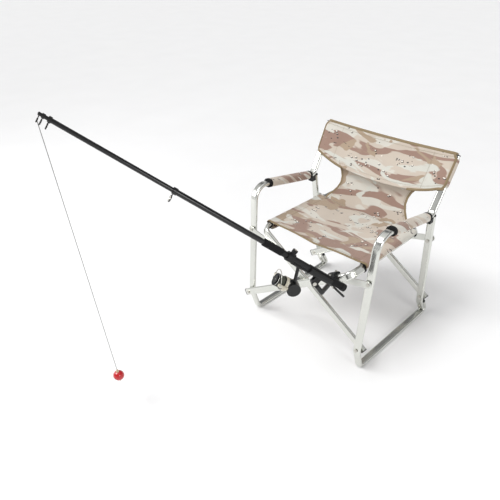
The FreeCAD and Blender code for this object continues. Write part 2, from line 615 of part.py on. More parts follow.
butt_outer = prim("Cylinder", V(0, 0, 0), Radius="dims.butt_cap_radius", Height="dims.butt_cap_length")
butt_bore = prim("Cylinder", V(0, 0, dim("blank_start")), Radius="dims.grip_radius",
                 Height="dims.butt_cap_length")
rod_piece(boolean("Cut", butt_outer, butt_bore), "butt_cap")
rod_piece(collar("butt_cap_length", "grip_end", "grip_radius", "one_radius"), "rear_grip")
rod_piece(collar("seat_start", "seat_end", "seat_radius", "one_radius"), "reel_seat")
rod_piece(collar("seat_end", "fore_end", "fore_radius", "one_radius"), "fore_grip")
blank_in = prim("Cylinder", along("blank_start"), Radius="dims.one_radius",
                Height="dims.fore_end - dims.blank_start")
blank_out = prim("Cone", along("fore_end"), Radius1="dims.one_radius", Radius2="dims.one_tip_radius",
                 Height="dims.one_end - dims.fore_end")
blank_bore = prim("Cylinder", along("butt_cap_length"), Radius="dims.one_bore", Height="dims.one_end")
rod_piece(boolean("Cut", boolean("Fuse", blank_in, blank_out), blank_bore), "section_one")


def section(name, start, end, base, top, bore=None):
    """Tapering blank, straight inside the one before it, with a bore for the next."""
    nested = "dims.one_end - dims.two_start + dims.section_overlap"
    clear = prim("Cylinder", along(start), Radius=f"dims.{base}", Height=nested)
    taper_at = V(0, 0, dim(start) + dim("one_end") - dim("two_start") + dim("section_overlap"))
    taper = prim("Cone", taper_at, Radius1=f"dims.{base}", Radius2=f"dims.{top}",
                 Height=f"dims.{end} - dims.{start} - ({nested})")
    solid = boolean("Fuse", clear, taper)
    if bore:
        solid = boolean("Cut", solid,
                        prim("Cylinder", along(start), Radius=f"dims.{bore}", Height="dims.one_end"))
    return rod_piece(solid, name)


section("section_two", "two_start", "two_end", "two_radius", "two_tip_radius", "two_bore")
section("section_three", "three_start", "three_end", "three_radius", "three_radius", "three_bore")
section("section_four", "four_start", "four_end", "four_radius", "four_tip_radius")


def guide(name, end, blank, drop, ring, collar_length, lined=True):
    """Collar on a blank's end with a legged ring below it, lined where it is large enough."""
    start = dim(end) - dim(collar_length)
    wall = prim("Cylinder", V(0, 0, start), Radius=f"dims.{blank} + dims.collar_wall",
                Height=f"dims.{collar_length} - 1")
    bore = prim("Cylinder", V(0, 0, start), Radius=f"dims.{blank} + dims.ring_fit",
                Height=f"dims.{collar_length}")
    ring_at = V(-dim(drop), 0, start + dim(collar_length) / 2)
    frame_ring = prim("Torus", ring_at, Radius1=f"dims.{ring}", Radius2="dims.guide_wire")
    leg_length = f"dims.{drop} - dims.{ring} - dims.{blank} - dims.collar_sink"
    legs = []
    for side in (-1, 1):
        at = V(-dim(blank) - dim("collar_sink"), side * dim("guide_wire"), start + dim(collar_length) / 2)
        legs.append(prim("Cylinder", at, V(-1, 0, 0), Radius="dims.guide_wire * 0.7", Height=leg_length))
    frame = boolean("Cut", boolean("Fuse", wall, frame_ring, *legs), bore)
    if not lined:
        rod_piece(frame, f"{name}_frame")
        return ring_at
    hole = prim("Cylinder", ring_at - V(0, 0, dim("guide_wire")), Radius=f"dims.{ring} - dims.ring_liner",
                Height="2 * dims.guide_wire")
    rod_piece(boolean("Cut", frame, hole), f"{name}_frame")
    liner_out = prim("Cylinder", ring_at - V(0, 0, dim("guide_wire")),
                     Radius=f"dims.{ring} - dims.ring_liner",
                     Height="2 * dims.guide_wire")
    liner_in = prim("Cylinder", ring_at - V(0, 0, dim("guide_wire")),
                    Radius=f"dims.{ring} - 2 * dims.ring_liner",
                    Height="2 * dims.guide_wire")
    rod_piece(boolean("Cut", liner_out, liner_in), f"{name}_liner")
    return ring_at


guide("guide_one", "one_end", "one_radius", "guide_drop", "guide_ring", "guide_collar")
guide("guide_two", "two_end", "two_radius", "ring_two_drop", "ring_two", "small_collar")
guide("guide_three", "three_end", "three_radius", "ring_three_drop", "ring_three", "small_collar", False)
tip_ring = guide("guide_tip", "four_end", "four_radius", "ring_tip_drop", "ring_tip", "small_collar",
                 False)

# ---------------------------------------------------------------- cradle, strap and knob
trough = prim("Cylinder", along("cradle_start"), Radius="dims.cradle_outer",
              Height="dims.cradle_end - dims.cradle_start")
trough_bore = prim("Cylinder", along("cradle_start"), Radius="dims.grip_radius + 0.2",
                   Height="dims.cradle_end - dims.cradle_start")
mouth_at = V(dim("grip_radius") * 0.6, -dim("cradle_outer"), dim("cradle_start"))
mouth = prim("Box", mouth_at, Length="dims.cradle_outer", Width="2 * dims.cradle_outer",
             Height="dims.cradle_end - dims.cradle_start")
lugs = []
for f in (-1, 1):
    lug_mid = f * (dim("arm_eye_width") / 2 + dim("face_gap"))
    at = V(-dim("cradle_pivot_drop"), lug_mid, dim("cradle_pivot_s"))
    lugs.append(prim("Cylinder", at, V(0, f, 0), Radius="dims.cradle_lug_radius",
                     Height="dims.cradle_lug_width"))
    base = min(lug_mid, lug_mid + f * dim("cradle_lug_width"))
    web_at = V(-dim("cradle_pivot_drop"), base, dim("cradle_pivot_s") - dim("cradle_lug_radius"))
    lugs.append(prim("Box", web_at, Length="dims.cradle_pivot_drop", Width="dims.cradle_lug_width",
                     Height="2 * dims.cradle_lug_radius"))
pivot_at = V(-dim("cradle_pivot_drop"), -dim("cradle_outer"), dim("cradle_pivot_s"))
pivot_hole = prim("Cylinder", pivot_at, V(0, 1, 0), Radius="dims.pin_radius",
                  Height="2 * dims.cradle_outer")
rod_piece(boolean("Cut", boolean("Fuse", trough, *lugs), trough_bore, mouth, pivot_hole), "cradle")
pin_half = dim("arm_eye_width") / 2 + dim("face_gap") + dim("cradle_lug_width")
tilt_pin = prim("Cylinder", V(-dim("cradle_pivot_drop"), -pin_half, dim("cradle_pivot_s")), V(0, 1, 0),
                Radius="dims.pin_radius", Height="dims.arm_eye_width + 2 * (dims.face_gap + dims.cradle_lug_width)")
tilt_heads = []
for f in (-1, 1):
    at = V(-dim("cradle_pivot_drop"), f * pin_half, dim("cradle_pivot_s"))
    tilt_heads.append(prim("Cylinder", at, V(0, f, 0), Radius="dims.head_radius",
                           Height="dims.head_height"))
rod_piece(boolean("Fuse", tilt_pin, *tilt_heads), "tilt_bolt")

strap = prim("Cylinder", along("strap_start"), Radius="dims.strap_outer",
             Height="dims.strap_end - dims.strap_start")
strap_bore = prim("Cylinder", along("strap_start"), Radius="dims.seat_radius + 0.2",
                  Height="dims.strap_end - dims.strap_start")
strap_mid = (dim("strap_start") + dim("strap_end")) / 2
knob_hole = prim("Cylinder", V(dim("seat_radius"), 0, strap_mid), V(1, 0, 0),
                 Radius="dims.knob_screw + dims.ring_fit",
                 Height="dims.strap_outer")
boss = prim("Cylinder", V(dim("seat_radius"), 0, strap_mid), V(1, 0, 0), Radius="dims.knob_radius - 1",
            Height="dims.strap_outer - dims.seat_radius + dims.boss_lift")
rod_piece(boolean("Cut", boolean("Fuse", strap, boss), strap_bore, knob_hole), "seat_hood")
knob_base = dim("strap_outer") + dim("knob_lift")
knob = prim("Cylinder", V(knob_base, 0, strap_mid), V(1, 0, 0), Radius="dims.knob_radius",
            Height="dims.knob_height")
dimple = []
for k in range(6):
    turn = math.radians(60 * k)
    out = dim("knob_radius") + dim("dimple_out")
    at = V(knob_base, math.cos(turn) * out, strap_mid + math.sin(turn) * out)
    dimple.append(prim("Cylinder", at, V(1, 0, 0), Radius="dims.knob_screw", Height="dims.knob_height"))
knob_bore = prim("Cylinder", V(knob_base, 0, strap_mid), V(1, 0, 0), Radius="dims.knob_screw",
                 Height="dims.knob_height")
rod_piece(boolean("Cut", knob, knob_bore, *dimple), "hood_knob")
knob_stud = prim("Cylinder", V(dim("seat_radius") + 1, 0, strap_mid), V(1, 0, 0),
                 Radius="dims.knob_screw",
                 Height="dims.strap_outer - dims.seat_radius + dims.boss_lift + dims.knob_height")
stud_cap = prim("Cylinder", V(knob_base + dim("knob_height"), 0, strap_mid), V(1, 0, 0),
                Radius="dims.knob_screw + 1",
                Height="dims.head_height")
rod_piece(boolean("Fuse", knob_stud, stud_cap), "knob_screw")

# ---------------------------------------------------------------- reel
drop = -dim("reel_drop")
Yw = V(0, 1, 0)
foot_at = V(-dim("foot_drop"), -dim("foot_half"), dim("reel_s") - dim("foot_length") / 2)
foot = prim("Box", foot_at, Length="dims.foot_drop - dims.seat_radius - 0.2", Width="2 * dims.foot_half",
            Height="dims.foot_length")
stem_top = V(-dim("foot_drop") + 2, 0, dim("reel_s"))
stem_low = V(drop + dim("house_radius") - 6, 0, dim("house_s") + 8)
stem_way = stem_low - stem_top
stem = doc.addObject("Part::Cylinder", "stem")
stem.setExpression("Radius", "dims.stem_radius")
stem.Height = stem_way.Length
stem.Placement = FreeCAD.Placement(stem_top, FreeCAD.Rotation(V(0, 0, 1), stem_way))
house_low = V(drop, -dim("house_half"), dim("house_s"))
house = prim("Cylinder", house_low, Yw, Radius="dims.house_radius", Height="2 * dims.house_half")
neck = prim("Cylinder", V(drop, 0, dim("house_s")), Radius="dims.neck_radius",
            Height="dims.neck_end - dims.house_s")
cavity_at = V(drop, -dim("house_half") + dim("house_wall"), dim("house_s"))
cavity = prim("Cylinder", cavity_at, Yw, Radius="dims.house_radius - dims.house_wall",
              Height="2 * dims.house_half")
neck_bore = prim("Cylinder", V(drop, 0, dim("house_s") + dim("gear_radius") + 3),
                 Radius="dims.knob_grip_radius + 0.5",
                 Height="dims.neck_end - dims.house_s")
housing = boolean("Cut", boolean("Fuse", house, neck, foot, stem), cavity, neck_bore)
rod_piece(housing, "reel_housing")
cover_at = V(drop, dim("house_half"), dim("house_s"))
cover = prim("Cylinder", cover_at, Yw, Radius="dims.house_radius", Height="dims.cover_thick")
cover_hole = prim("Cylinder", cover_at, Yw, Radius="dims.crank_radius + dims.ring_fit",
                  Height="dims.cover_thick")
rod_piece(boolean("Cut", cover, cover_hole), "reel_side_cover")

rotor_cup = prim("Cylinder", V(drop, 0, dim("rotor_start")), Radius="dims.rotor_radius",
                 Height="dims.rotor_depth")
rotor_well = prim("Cylinder", V(drop, 0, dim("rotor_start") + 4),
                  Radius="dims.spool_skirt + dims.rotor_fit",
                  Height="dims.rotor_depth")
rotor_hole = prim("Cylinder", V(drop, 0, dim("neck_end") - 14),
                  Radius="dims.shaft_radius + dims.ring_fit", Height="40")
hub_low = V(drop, 0, dim("house_s") + dim("gear_radius") + dim("hub_gap"))
rotor_hub = prim("Cylinder", hub_low, Radius="dims.knob_grip_radius",
                 Height="dims.rotor_start - dims.house_s - dims.gear_radius - dims.hub_gap + 1")
rotor_arms = []
for f in (-1, 1):
    at = V(drop, f * dim("rotor_arm_at"), dim("rotor_start") + 5)
    rotor_arms.append(prim("Cylinder", at, Radius="dims.rotor_arm_radius", Height="dims.rotor_arm"))
    bridge_at = V(drop - dim("rotor_arm_radius"), min(0, f * dim("rotor_arm_at")), dim("rotor_start"))
    rotor_arms.append(prim("Box", bridge_at, Length="2 * dims.rotor_arm_radius",
                           Width="dims.rotor_arm_at",
                           Height="dims.rotor_depth - 2"))
bail_z = dim("rotor_start") + dim("rotor_arm")
pivot_out = dim("rotor_arm_at") + dim("rotor_arm_radius")
stud_holes = []
for f in (-1, 1):
    stud_holes.append(prim("Cylinder", V(drop, f * (pivot_out + 1), bail_z), V(0, -f, 0),
                           Radius="dims.stud_radius + dims.ring_fit", Height="dims.stud_hole_length"))
rotor = boolean("Cut", boolean("Fuse", rotor_cup, rotor_hub, *rotor_arms), rotor_well, rotor_hole,
                *stud_holes)
rod_piece(rotor, "rotor")
arc_start = V(drop, pivot_out + dim("arc_out"), bail_z)
arc_end = V(drop, -pivot_out - dim("arc_out"), bail_z)
arc_top = V(drop + dim("bail_reach"), 0, bail_z + dim("arc_rise"))
wire_path = Part.Arc(arc_start, arc_top, arc_end).toShape()
wire_start = wire_path.tangentAt(wire_path.FirstParameter)
wire_circle = Part.Wire(Part.Circle(arc_start, wire_start, dim("bail_wire")).toShape())
wire_solid = Part.Wire(wire_path).makePipeShell([wire_circle], True, True)
bail_plates = []
for f in (-1, 1):
    at = V(drop, f * (pivot_out + dim("plate_gap")), bail_z)
    plate = Part.makeCylinder(dim("rotor_arm_radius"), dim("plate_thick"), at, V(0, f, 0))
    stud = Part.makeCylinder(dim("stud_radius"), dim("stud_length"), at, V(0, -f, 0))
    bail_plates += [plate, stud]
bail = wire_solid.fuse(bail_plates)
shape_piece("bail", bail, rod_frame)

spool_z = dim("spool_start")
skirt_at = V(drop, 0, spool_z - dim("skirt_length"))
skirt = prim("Cylinder", skirt_at, Radius="dims.spool_skirt", Height="dims.skirt_length")
core = prim("Cylinder", V(drop, 0, spool_z), Radius="dims.spool_core", Height="dims.spool_length")
lip_at = V(drop, 0, spool_z + dim("spool_length") - dim("spool_lip"))
lip = prim("Cylinder", lip_at, Radius="dims.spool_skirt", Height="dims.spool_lip")
well_at = V(drop, 0, spool_z + dim("spool_length") - dim("well_depth"))
face_well = prim("Cylinder", well_at, Radius="dims.drag_radius + 0.5", Height="dims.spool_length")
spool_bore = prim("Cylinder", V(drop, 0, spool_z - 20), Radius="dims.shaft_radius", Height="80")
rod_piece(boolean("Cut", boolean("Fuse", skirt, core, lip), face_well, spool_bore), "spool")
wound = prim("Cylinder", V(drop, 0, spool_z + 0.5), Radius="dims.spool_skirt - 2",
             Height="dims.spool_length - dims.spool_lip - 1")
wound_bore = prim("Cylinder", V(drop, 0, spool_z), Radius="dims.spool_core", Height="dims.spool_length")
rod_piece(boolean("Cut", wound, wound_bore), "wound_line")
shaft_low = V(drop, 0, dim("house_s") + dim("gear_radius") + dim("shaft_gap"))
shaft = prim("Cylinder", shaft_low, Radius="dims.shaft_radius",
             Height="dims.spool_start + dims.spool_length + 2 - dims.house_s - dims.gear_radius - dims.shaft_gap")
rod_piece(shaft, "spool_shaft")
drag_low = V(drop, 0, spool_z + dim("spool_length") - 6.5)
drag = prim("Cylinder", drag_low, Radius="dims.drag_radius", Height="dims.drag_height")
drag_bore = prim("Cylinder", drag_low, Radius="dims.shaft_radius + dims.ring_fit",
                 Height="dims.drag_height")
ears = []
for k in range(8):
    turn = math.radians(45 * k)
    radius = dim("drag_radius") + 1
    at = drag_low + V(math.cos(turn) * radius, math.sin(turn) * radius, 2)
    ears.append(prim("Cylinder", at, Radius="dims.shaft_radius", Height="dims.drag_height"))
drag_cut = boolean("Cut", drag, drag_bore, *ears)
rod_piece(drag_cut, "drag_knob")

gear_at = V(drop, dim("gear_side"), dim("house_s"))
gear = prim("Cylinder", gear_at, Yw, Radius="dims.gear_radius", Height="dims.gear_thick")
rod_piece(gear, "drive_gear")
axle_at = V(drop, dim("gear_side") + dim("gear_thick"), dim("house_s"))
axle = prim("Cylinder", axle_at, Yw, Radius="dims.crank_radius",
            Height="dims.crank_out - dims.gear_side - dims.gear_thick")
crank_turn = V(-0.55, 0, 0.84).normalize()
crank_eye = V(drop, dim("crank_out"), dim("house_s"))
crank_hub = prim("Cylinder", crank_eye - Yw * 6, Yw, Radius="2 * dims.crank_radius",
                 Height="dims.crank_eye_height")
crank_bar = prim("Cylinder", crank_eye - Yw * 1, crank_turn, Radius="dims.crank_radius",
                 Height="dims.crank_length")
knob_foot = crank_eye + crank_turn * dim("crank_length") - Yw * 1
knob_boss = prim("Cylinder", knob_foot - Yw * 4, Yw, Radius="dims.crank_radius + 1.5",
                 Height="dims.knob_boss_height")
knob_pin = prim("Cylinder", knob_foot, Yw, Radius="dims.grip_pin", Height="dims.knob_grip_length + 2")
rod_piece(boolean("Fuse", axle, crank_hub, crank_bar, knob_boss, knob_pin), "crank")
grip_foot = knob_foot + Yw * dim("knob_step")
grip_out = prim("Cylinder", grip_foot, Yw, Radius="dims.knob_grip_radius", Height="dims.knob_grip_length")
grip_in = prim("Cylinder", grip_foot, Yw, Radius="dims.grip_pin + dims.ring_fit",
               Height="dims.knob_grip_length - 2")
rod_piece(boolean("Cut", grip_out, grip_in), "crank_knob")

# ---------------------------------------------------------------- line and float
hang = rod_in_chair.multVec(tip_ring)
hang_z = hang.z - dim("ring_tip") + dim("guide_wire") + dim("line_radius")
float_z = dim("float_z")
float_r = dim("float_radius")
line_low = float_z + float_r + dim("cap_height")
line = prim("Cylinder", V(hang.x, hang.y, line_low), Radius="dims.line_radius")
line.Height = hang_z - line_low
doc.recompute()
keep(line, "line", chair.multiply(line.Placement))
ball = prim("Sphere", V(hang.x, hang.y, float_z), Radius="dims.float_radius")
doc.recompute()
keep(ball, "float_ball", chair.multiply(ball.Placement))
cap = prim("Cone", V(hang.x, hang.y, float_z + float_r - 0.5), Radius1="2 * dims.float_stem",
           Radius2="dims.float_stem", Height="dims.cap_height + 0.2")
cap_round = prim("Sphere", V(hang.x, hang.y, float_z), Radius="dims.float_radius + dims.ring_fit")
cap_cut = boolean("Cut", cap, cap_round)
stem_rod = prim("Cylinder", V(hang.x, hang.y, float_z - float_r - dim("stem_below")),
                Radius="dims.float_stem",
                Height="dims.stem_stub")
stem_cut = boolean("Cut", stem_rod,
                   prim("Sphere", V(hang.x, hang.y, float_z), Radius="dims.float_radius + dims.ring_fit"))
fittings = boolean("Fuse", cap_cut, stem_cut)
doc.recompute()
keep(fittings, "float_fittings", chair)

# ---------------------------------------------------------------- checks and output
doc.recompute()
for obj in doc.Objects:
    if "Invalid" in obj.State or "Error" in obj.State:
        raise ValueError(f"{obj.Label} did not build")
for obj in pieces:
    if obj.Shape.isNull() or not obj.Shape.isValid():
        raise ValueError(f"{obj.Label} has no valid shape")
for obj in pieces:
    obj.Shape.exportStep(f"parts/{obj.Label}.step")
print(len(pieces), "sub-parts written")
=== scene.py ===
import bpy
import bmesh
import math
from mathutils import Matrix, Vector


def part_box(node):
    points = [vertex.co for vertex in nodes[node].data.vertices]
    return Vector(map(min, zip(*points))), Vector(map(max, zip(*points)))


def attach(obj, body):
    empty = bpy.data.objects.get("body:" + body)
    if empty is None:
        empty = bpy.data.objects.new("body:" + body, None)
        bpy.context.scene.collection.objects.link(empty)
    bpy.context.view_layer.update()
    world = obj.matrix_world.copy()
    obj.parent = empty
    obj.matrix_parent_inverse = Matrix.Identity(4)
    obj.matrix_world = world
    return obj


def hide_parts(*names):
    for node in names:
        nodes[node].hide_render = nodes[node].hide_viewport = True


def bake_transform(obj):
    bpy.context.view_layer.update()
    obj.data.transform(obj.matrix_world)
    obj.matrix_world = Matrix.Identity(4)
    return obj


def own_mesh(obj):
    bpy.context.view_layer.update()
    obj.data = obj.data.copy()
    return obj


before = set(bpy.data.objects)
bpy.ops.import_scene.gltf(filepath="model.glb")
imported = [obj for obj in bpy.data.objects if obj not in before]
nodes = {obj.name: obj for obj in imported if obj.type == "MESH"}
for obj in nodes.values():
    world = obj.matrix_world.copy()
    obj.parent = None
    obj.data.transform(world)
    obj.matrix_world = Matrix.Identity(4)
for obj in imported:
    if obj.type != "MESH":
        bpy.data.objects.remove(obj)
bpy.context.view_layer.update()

SHIFT = 0.3576  # chair layout to row frame, along Y
UP = Vector((0, 0, 1))
CLOTH = 0.0022  # thickness of the sling cloth
LIFT = 0.0014  # how far a stitch stands off the middle of the cloth
TAPE_THICK = 0.0044
HEM_TAPE_THICK = 0.0042
RAIL_HALF = 7.5  # half the oval rail tube's thickness, millimetres
HEM_GROW = 3.2  # millimetres from the rail's face to the hem


def chair(x, y, z):
    """Point in the chair's own layout, millimetres, as a row-frame vector in metres."""
    return Vector((x / 1000, y / 1000 + SHIFT, z / 1000))


# ---------------------------------------------------------------- camera
azimuth = math.radians(43.64)
elevation = math.radians(39.54)
roll = math.radians(-0.44)
back = Vector((
    math.sin(azimuth) * math.cos(elevation),
    -math.cos(azimuth) * math.cos(elevation),
    math.sin(elevation),
))
right = Vector((math.cos(azimuth), math.sin(azimuth), 0))
up = back.cross(right)
level_right = right * math.cos(roll) + up * math.sin(roll)
level_up = up * math.cos(roll) - right * math.sin(roll)
cam = bpy.data.objects.new("view_camera", bpy.data.cameras.new("view_camera"))
bpy.context.collection.objects.link(cam)
cam.matrix_world = Matrix.Translation(chair(924.1, -1371.7, 1299.1)) @ Matrix(
    (level_right, level_up, back)).transposed().to_4x4()
cam.data.lens = 33.62
cam.data.shift_x = -0.0549
cam.data.shift_y = 0.1336
cam.data.clip_start = 0.01
bpy.context.scene.camera = cam


# ---------------------------------------------------------------- shader helpers
def material(name):
    """Empty node material with its Principled shader."""
    mat = bpy.data.materials.new(name)
    mat.use_nodes = True
    return mat, mat.node_tree, mat.node_tree.nodes["Principled BSDF"]


def add(tree, kind, **inputs):
    """Node of a kind with its inputs set or linked."""
    node = tree.nodes.new(kind)
    for key, value in inputs.items():
        numbered = key[0] == "i" and key[1:].isdigit()
        slot = node.inputs[int(key[1:])] if numbered else node.inputs[key.replace("_", " ")]
        if isinstance(value, bpy.types.NodeSocket):
            tree.links.new(value, slot)
        else:
            slot.default_value = value
    return node


def maths(tree, operation, a, b=0.0, clamp=False):
    """Math node result."""
    node = add(tree, "ShaderNodeMath", i0=a, i1=b)
    node.operation = operation
    node.use_clamp = clamp
    return node.outputs[0]


def mix(tree, amount, a, b):
    """Colour mix."""
    node = tree.nodes.new("ShaderNodeMix")
    node.data_type = "RGBA"
    for slot, value in ((node.inputs[0], amount), (node.inputs[6], a), (node.inputs[7], b)):
        if isinstance(value, bpy.types.NodeSocket):
            tree.links.new(value, slot)
        else:
            slot.default_value = value
    return node.outputs[2]


def ramp(tree, value, low, high):
    """Smooth step of a value between two thresholds."""
    node = add(tree, "ShaderNodeMapRange", Value=value, From_Min=low, From_Max=high)
    node.interpolation_type = "SMOOTHSTEP"
    return node.outputs[0]


def noise(tree, where, scale, detail=2.0, distortion=0.0):
    """Noise value at a place."""
    node = add(tree, "ShaderNodeTexNoise", Vector=where, Scale=scale, Detail=detail, Distortion=distortion)
    return node.outputs[0]


def place(tree, scale=(1, 1, 1), shift=(0, 0, 0)):
    """Object coordinates, scaled and moved."""
    coords = tree.nodes.new("ShaderNodeTexCoord")
    return add(tree, "ShaderNodeMapping", Vector=coords.outputs["Object"], Scale=scale, Location=shift).outputs[0]


def bump(tree, shader, height, strength, distance):
    """Bump into a shader's normal."""
    node = add(tree, "ShaderNodeBump", Strength=strength, Distance=distance, Height=height)
    tree.links.new(node.outputs[0], shader.inputs["Normal"])


def rgb(*channels):
    """sRGB bytes to a linear colour."""
    shares = [c / 255 for c in channels]
    return tuple(c / 12.92 if c < 0.04045 else ((c + 0.055) / 1.055) ** 2.4 for c in shares) + (1,)


def tinted(colour, factor, lift=0.0):
    """A colour made darker or lighter."""
    return tuple(min(1, c * factor + lift) for c in colour[:3]) + (1,)


# ---------------------------------------------------------------- materials
def metal(name, colour, rough, streak, spots=0.15):
    """Drawn or cast metal with fine streaks, smudges and small dull patches."""
    mat, tree, shader = material(name)
    shader.inputs["Metallic"].default_value = 1.0
    grain = noise(tree, place(tree, streak), 60, 4)
    smudge = noise(tree, place(tree), 9, 3)
    tint = mix(tree, smudge, tinted(colour, 0.86), colour)
    tree.links.new(tint, shader.inputs["Base Color"])
    total = maths(tree, "ADD", maths(tree, "MULTIPLY", grain, spots), maths(tree, "MULTIPLY", smudge, 0.12))
    tree.links.new(maths(tree, "ADD", total, rough - 0.5 * spots), shader.inputs["Roughness"])
    bump(tree, shader, grain, 0.08, 0.0004)
    return mat


def plastic(name, colour, rough, grain_scale, strength, coat=0.0, wear=0.25):
    """Moulded plastic, rubber or foam with a grain and slightly lighter rubbed areas."""
    mat, tree, shader = material(name)
    where = place(tree)
    grain = noise(tree, where, grain_scale, 3)
    rub = ramp(tree, noise(tree, where, 22, 4), 0.52, 0.75)
    light = tinted(colour, 1.6, 0.004)
    tree.links.new(mix(tree, maths(tree, "MULTIPLY", rub, wear), colour, light), shader.inputs["Base Color"])
    tree.links.new(maths(tree, "ADD", maths(tree, "MULTIPLY", rub, 0.12), rough), shader.inputs["Roughness"])
    shader.inputs["Coat Weight"].default_value = coat
    shader.inputs["Specular IOR Level"].default_value = 0.35
    bump(tree, shader, grain, strength, 0.0006)
    return mat


def camouflage(name, tight=1.0):
    """Pale desert print with ragged bands and clusters of black and white pebbles, on a plain weave."""
    mat, tree, shader = material(name)
    where = place(tree)
    coords = tree.nodes.new("ShaderNodeSeparateXYZ")
    tree.links.new(where, coords.inputs[0])
    run = maths(tree, "ADD", coords.outputs[1], coords.outputs[2])
    flat = tree.nodes.new("ShaderNodeCombineXYZ")
    tree.links.new(coords.outputs[0], flat.inputs[0])
    tree.links.new(run, flat.inputs[1])
    cloth = flat.outputs[0]

    def field(scale, stretch, shift, distortion):
        placed = add(tree, "ShaderNodeMapping", Vector=cloth, Scale=stretch, Location=shift).outputs[0]
        return noise(tree, placed, scale * tight, 2.5, distortion)

    edge = 0.012
    colour = rgb(198, 186, 172)
    for scale, stretch, shift, distortion, level, tone in (
            (6.5, (0.8, 1.3, 1), (0.3, 0.1, 0), 0.9, 0.535, rgb(208, 204, 194)),
            (6.0, (0.6, 1.7, 1), (2.1, 0.7, 0), 1.1, 0.545, rgb(152, 124, 110)),
            (8.5, (0.9, 1.2, 1), (5.3, 3.1, 0), 0.8, 0.605, rgb(168, 148, 126)),
            (7.0, (0.7, 1.5, 1), (8.8, 4.6, 0), 1.0, 0.615, rgb(206, 205, 196))):
        mask = ramp(tree, field(scale, stretch, shift, distortion), level - edge, level + edge)
        colour = mix(tree, mask, colour, tone)

    cluster = ramp(tree, field(13.0, (0.8, 1.2, 1), (3.3, 9.4, 0), 0.3), 0.545, 0.56)

    def pebbles(shift, size):
        moved = add(tree, "ShaderNodeMapping", Vector=cloth, Location=shift, Scale=(1.0, 1.25, 1)).outputs[0]
        cells = add(tree, "ShaderNodeTexVoronoi", Vector=moved, Scale=50.0 * tight, Randomness=0.9)
        return maths(tree, "MULTIPLY", ramp(tree, cells.outputs["Distance"], size + 0.04, size), cluster)

    colour = mix(tree, pebbles((0, 0, 0), 0.28), colour, rgb(52, 42, 40))
    colour = mix(tree, pebbles((0.0016, -0.0023, 0), 0.19), colour, rgb(238, 232, 222))
    threads = []
    for axis in (0, 1):
        line = maths(tree, "SINE", maths(tree, "MULTIPLY", (coords.outputs[0], run)[axis], 5200.0))
        threads.append(line)
    weave = maths(tree, "MULTIPLY", threads[0], threads[1])
    # painted shade: the weave's low threads are painted darker and its raised threads lighter, following the same
    # weave that drives the bump
    shade = add(tree, "ShaderNodeMapRange", Value=weave, From_Min=-1.0, To_Min=0.93, To_Max=1.03).outputs[0]
    dirt = noise(tree, where, 14, 4)
    dust = add(tree, "ShaderNodeMapRange", Value=dirt, To_Min=0.92, To_Max=1.06).outputs[0]
    tone = add(tree, "ShaderNodeVectorMath", i0=colour, i1=maths(tree, "MULTIPLY", shade, dust))
    tone.operation = "MULTIPLY"
    tree.links.new(tone.outputs[0], shader.inputs["Base Color"])
    shader.inputs["Roughness"].default_value = 0.78
    shader.inputs["Sheen Weight"].default_value = 0.25
    creases = noise(tree, add(tree, "ShaderNodeMapping", Vector=cloth, Scale=(0.6, 2.2, 1)).outputs[0], 16, 3)
    height = maths(tree, "ADD", maths(tree, "MULTIPLY", weave, 0.12), creases)
    bump(tree, shader, height, 0.35, 0.0035)
    return mat


def tape(name, colour):
    """Ribbed binding tape."""
    mat, tree, shader = material(name)
    where = place(tree)
    ribs = add(tree, "ShaderNodeTexWave", Vector=where, Scale=420.0, Distortion=0.6).outputs[1]
    worn = noise(tree, where, 60, 3)
    tree.links.new(mix(tree, worn, tinted(colour, 0.78), colour), shader.inputs["Base Color"])
    shader.inputs["Roughness"].default_value = 0.85
    bump(tree, shader, ribs, 0.4, 0.0004)
    return mat


tube_metal = metal("bright_tube", rgb(224, 225, 219), 0.17, (1, 1, 0.15), 0.05)
bar_metal = metal("brushed_bar", rgb(214, 215, 209), 0.28, (0.2, 1, 1), 0.08)
steel = metal("zinc_steel", rgb(200, 198, 190), 0.28, (1, 1, 1))
brass = metal("gear_brass", rgb(196, 164, 98), 0.32, (1, 1, 1))
spool_metal = metal("spool_anodised", rgb(38, 40, 48), 0.24, (1, 1, 1))
ring_metal = metal("ring_polish", rgb(226, 224, 216), 0.12, (1, 1, 1))
black_plastic = plastic("black_moulded", rgb(15, 15, 16), 0.46, 420, 0.18)
black_metal = plastic("black_enamel", rgb(13, 13, 14), 0.36, 200, 0.08, 0.3)
black_rubber = plastic("black_rubber", rgb(14, 14, 14), 0.7, 700, 0.35)
foam = plastic("black_foam", rgb(17, 17, 18), 0.9, 900, 0.6)
blank = plastic("rod_lacquer", rgb(8, 8, 10), 0.3, 30, 0.03, 0.4, 0.1)
reel_black = plastic("reel_body", rgb(12, 12, 13), 0.34, 300, 0.08, 0.2)
reel_gold = metal("reel_olive_gold", rgb(128, 116, 62), 0.34, (1, 1, 1))
reel_cream = plastic("reel_pearl", rgb(196, 190, 172), 0.25, 200, 0.05, 0.6, 0.1)
braid = tape("braided_line", rgb(112, 112, 110))
wound = tape("wound_braid", rgb(74, 76, 66))
float_red = plastic("float_lacquer", rgb(186, 22, 30), 0.18, 60, 0.04, 0.8, 0.15)
float_tan = plastic("float_peg", rgb(196, 172, 138), 0.4, 200, 0.06, 0.2)
camo = camouflage("desert_cloth")
camo_pad = camouflage("desert_sleeve", 1.25)
khaki = tape("khaki_binding", rgb(146, 128, 98))
thread = tape("stitch_thread", rgb(158, 142, 116))

